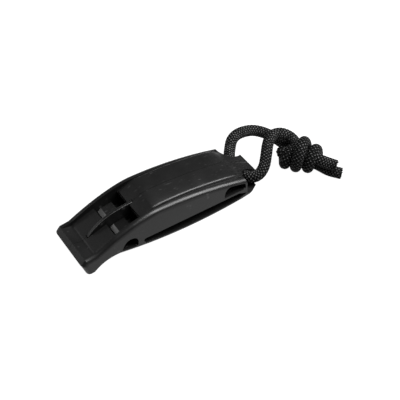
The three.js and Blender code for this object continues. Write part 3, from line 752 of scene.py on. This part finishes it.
def shape_shell(body):
    """Fills out the lip, draws in the tail, gives the cord room and closes the holes' rims."""
    for vert in body.verts:
        place = from_lip(vert.co)
        for shift in (lip_shift, tail_shift, mouth_shift, ledge_shift):
            vert.co += Vector(shift(*place)) * MM
    close_rims(body)


def arch_rib(body):
    """Lifts the rib's straight upper edge to its arch."""
    (x0, z0), (xp, zp), (x1, z1) = RIB_START, RIB_PULL, RIB_END
    arch = []
    for i in range(1, RIB_STEPS):
        t = i / RIB_STEPS
        a, b, c = (1 - t) ** 2, 2 * t * (1 - t), t * t
        arch.append((a * x0 + b * xp + c * x1, a * z0 + b * zp + c * z1))
    for x, _ in arch:
        bmesh.ops.bisect_plane(
            body, geom=body.verts[:] + body.edges[:] + body.faces[:],
            plane_co=in_frame((x, 0, 0)), plane_no=(1, 0, 0))
    for vert in body.verts:
        x, _, z = from_lip(vert.co)
        if abs(z - z0 - (z1 - z0) * (x - x0) / (x1 - x0)) > RIB_NEAR:
            continue
        for station, height in arch:
            if abs(x - station) < STATION_NEAR:
                vert.co.z = height * MM


def weigh_edges(body):
    """Marks the edges that are rounded: all but the crisp ones, and the seam's only a little."""
    low, high = in_frame(CRISP_LOW), in_frame(CRISP_HIGH)
    weight = body.edges.layers.float.new("bevel_weight_edge")
    for edge in body.edges:
        middle = (edge.verts[0].co + edge.verts[1].co) / 2
        crisp = all(a < m < b for a, m, b in zip(low, middle, high))
        if crisp or edge.calc_face_angle(0.0) < math.radians(EDGE_TURN):
            continue
        edge[weight] = 1.0
        if all(abs(v.co.y) < SEAM_NEAR * MM for v in edge.verts):
            edge[weight] = SEAM_SHARE if from_lip(middle)[0] > SEAM_OPEN_X else 0.0


def moulded_copy(node, name, edge_round, reshape):
    """A copy of a CAD node with merged points, clean flat faces and rounded edges."""
    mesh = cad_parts[node].data.copy()
    mesh.name = name
    body = bmesh.new()
    body.from_mesh(mesh)
    bmesh.ops.remove_doubles(body, verts=body.verts, dist=MERGED * MM)
    bmesh.ops.dissolve_limit(
        body, angle_limit=math.radians(FLAT_TURN), verts=body.verts, edges=body.edges)
    reshape(body)
    weigh_edges(body)
    body.to_mesh(mesh)
    body.free()
    mesh.materials.clear()
    piece = bpy.data.objects.new(name, mesh)
    bpy.context.scene.collection.objects.link(piece)
    rounding = piece.modifiers.new("Edges", "BEVEL")
    rounding.width = edge_round
    rounding.segments = ROUND_STEPS
    rounding.limit_method = "WEIGHT"
    rounding.use_clamp_overlap = True
    as_plain_mesh(piece)
    piece.data.set_sharp_from_angle(angle=math.radians(SHARP_TURN))
    # Large faces stay evenly shaded, and the turn shows on the rounded edges alone
    shading = piece.modifiers.new("Shading", "WEIGHTED_NORMAL")
    shading.keep_sharp = True
    as_plain_mesh(piece)
    return piece


def finish_moulding(shell, node, name, edge_round, reshape):
    """Puts the finished copy of a moulded CAD node in its place."""
    piece = moulded_copy(node, name, edge_round, reshape)
    mark_wear_and_highlights(piece.data, shell.edge_round)
    piece.data.materials.append(bpy.data.materials.get(PLASTIC) or moulded_abs(shell))
    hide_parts(node)
    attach(piece, "whistle_body")


class WHISTLE_OT_finish_shells(bpy.types.Operator):
    """Round, grain and rub the two moulded halves, and paint highlights on their edges and bevels
    """

    bl_idname = "whistle.finish_shells"
    bl_label = "Finish Shells"

    def execute(self, context):
        shell, _, _ = user_settings(context)
        for node, name in (("left_half_shell", "left_shell"), ("right_half_shell", "right_shell")):
            finish_moulding(shell, node, name, shell.edge_round, shape_shell)
        return {"FINISHED"}


class WHISTLE_OT_finish_divider(bpy.types.Operator):
    """Arch, round and grain the plate between the sound chambers"""

    bl_idname = "whistle.finish_divider"
    bl_label = "Finish Divider"

    def execute(self, context):
        shell, _, _ = user_settings(context)
        finish_moulding(shell, "chamber_divider", "divider_plate", shell.edge_round / 2, arch_rib)
        return {"FINISHED"}


# Stage

def soft_light(name, place, size, power):
    """A soft rectangular light that faces the whistle's middle, placed from there."""
    light = bpy.data.lights.new(name, "AREA")
    light.shape = "RECTANGLE"
    light.size, light.size_y = size
    light.energy = power
    lamp = bpy.data.objects.new(name, light)
    bpy.context.scene.collection.objects.link(lamp)
    middle = (CAD_BOX[0] + CAD_BOX[1]) / 2
    turn = place.normalized().to_track_quat("Z", "Y").to_matrix().to_4x4()
    lamp.matrix_world = Matrix.Translation(middle + place) @ turn


def lit_opal_acrylic(stage):
    """Opal acrylic of a light table: plain and matt, and so evenly lit from below that it is
    white all over and takes hardly any shadow."""
    material = bpy.data.materials.new("opal_acrylic_lit")
    material.use_nodes = True
    shader = material.node_tree.nodes["Principled BSDF"]
    shader.inputs["Base Color"].default_value = stage.floor
    shader.inputs["Roughness"].default_value = 0.9
    shader.inputs["Emission Color"].default_value = linear("ffffff")
    shader.inputs["Emission Strength"].default_value = stage.glow
    return material


def place_camera(scene, stage):
    camera = bpy.data.cameras.new("camera")
    camera.sensor_width = SENSOR_WIDTH
    camera.lens = stage.lens
    camera.clip_start, camera.clip_end = 0.01, 20
    eye = bpy.data.objects.new("camera", camera)
    scene.collection.objects.link(eye)
    turn = Euler([math.radians(angle) for angle in CAMERA_TURN]).to_matrix().to_4x4()
    eye.matrix_world = Matrix.Translation(in_frame(CAMERA_PLACE)) @ turn
    scene.camera = eye


def lay_floor(scene, stage):
    mesh = bpy.data.meshes.new("floor")
    ways = ((-1, -1), (1, -1), (1, 1), (-1, 1))
    mesh.from_pydata([(x * FLOOR_HALF, y * FLOOR_HALF, 0) for x, y in ways], [], [(0, 1, 2, 3)])
    floor = bpy.data.objects.new("floor", mesh)
    scene.collection.objects.link(floor)
    mesh.materials.append(lit_opal_acrylic(stage))


def light_room(scene, stage):
    soft_light("key_light", KEY_PLACE, KEY_SIZE, stage.key_power)
    soft_light("fill_light", FILL_PLACE, FILL_SIZE, stage.fill_power)
    world = bpy.data.worlds.new("room")
    world.use_nodes = True
    background = world.node_tree.nodes["Background"]
    background.inputs["Color"].default_value = linear("ffffff")
    background.inputs["Strength"].default_value = stage.sky
    scene.world = world
    scene.view_settings.view_transform = "Standard"


class WHISTLE_OT_set_stage(bpy.types.Operator):
    """Place the camera, the floor and the studio lights"""

    bl_idname = "whistle.set_stage"
    bl_label = "Set Stage"

    def execute(self, context):
        _, _, stage = user_settings(context)
        place_camera(context.scene, stage)
        lay_floor(context.scene, stage)
        light_room(context.scene, stage)
        return {"FINISHED"}


class WHISTLE_PT_sidebar(bpy.types.Panel):
    """The whistle's pieces and their settings"""

    bl_label = "Safety Whistle"
    bl_idname = "WHISTLE_PT_sidebar"
    bl_space_type = "VIEW_3D"
    bl_region_type = "UI"
    bl_category = "Whistle"

    def draw(self, context):
        shell, cord, stage = user_settings(context)
        for group, operators in (
            (stage, ("whistle.set_stage",)),
            (cord, ("whistle.braid_cord",)),
            (shell, ("whistle.finish_shells", "whistle.finish_divider")),
        ):
            box = self.layout.box()
            for name in group.__annotations__:
                box.prop(group, name)
            for operator in operators:
                box.operator(operator)


CLASSES = (
    WhistleShellSettings,
    WhistleCordSettings,
    WhistleStageSettings,
    WHISTLE_OT_set_stage,
    WHISTLE_OT_braid_cord,
    WHISTLE_OT_finish_shells,
    WHISTLE_OT_finish_divider,
    WHISTLE_PT_sidebar,
)


def register():
    for cls in CLASSES:
        bpy.utils.register_class(cls)
    bpy.types.Scene.whistle_shell = PointerProperty(type=WhistleShellSettings)
    bpy.types.Scene.whistle_cord = PointerProperty(type=WhistleCordSettings)
    bpy.types.Scene.whistle_stage = PointerProperty(type=WhistleStageSettings)


def unregister():
    del bpy.types.Scene.whistle_stage
    del bpy.types.Scene.whistle_cord
    del bpy.types.Scene.whistle_shell
    for cls in reversed(CLASSES):
        bpy.utils.unregister_class(cls)


def main():
    register()
    bpy.ops.whistle.set_stage()
    bpy.ops.whistle.braid_cord()
    bpy.ops.whistle.finish_shells()
    bpy.ops.whistle.finish_divider()


if __name__ == "__main__":
    main()
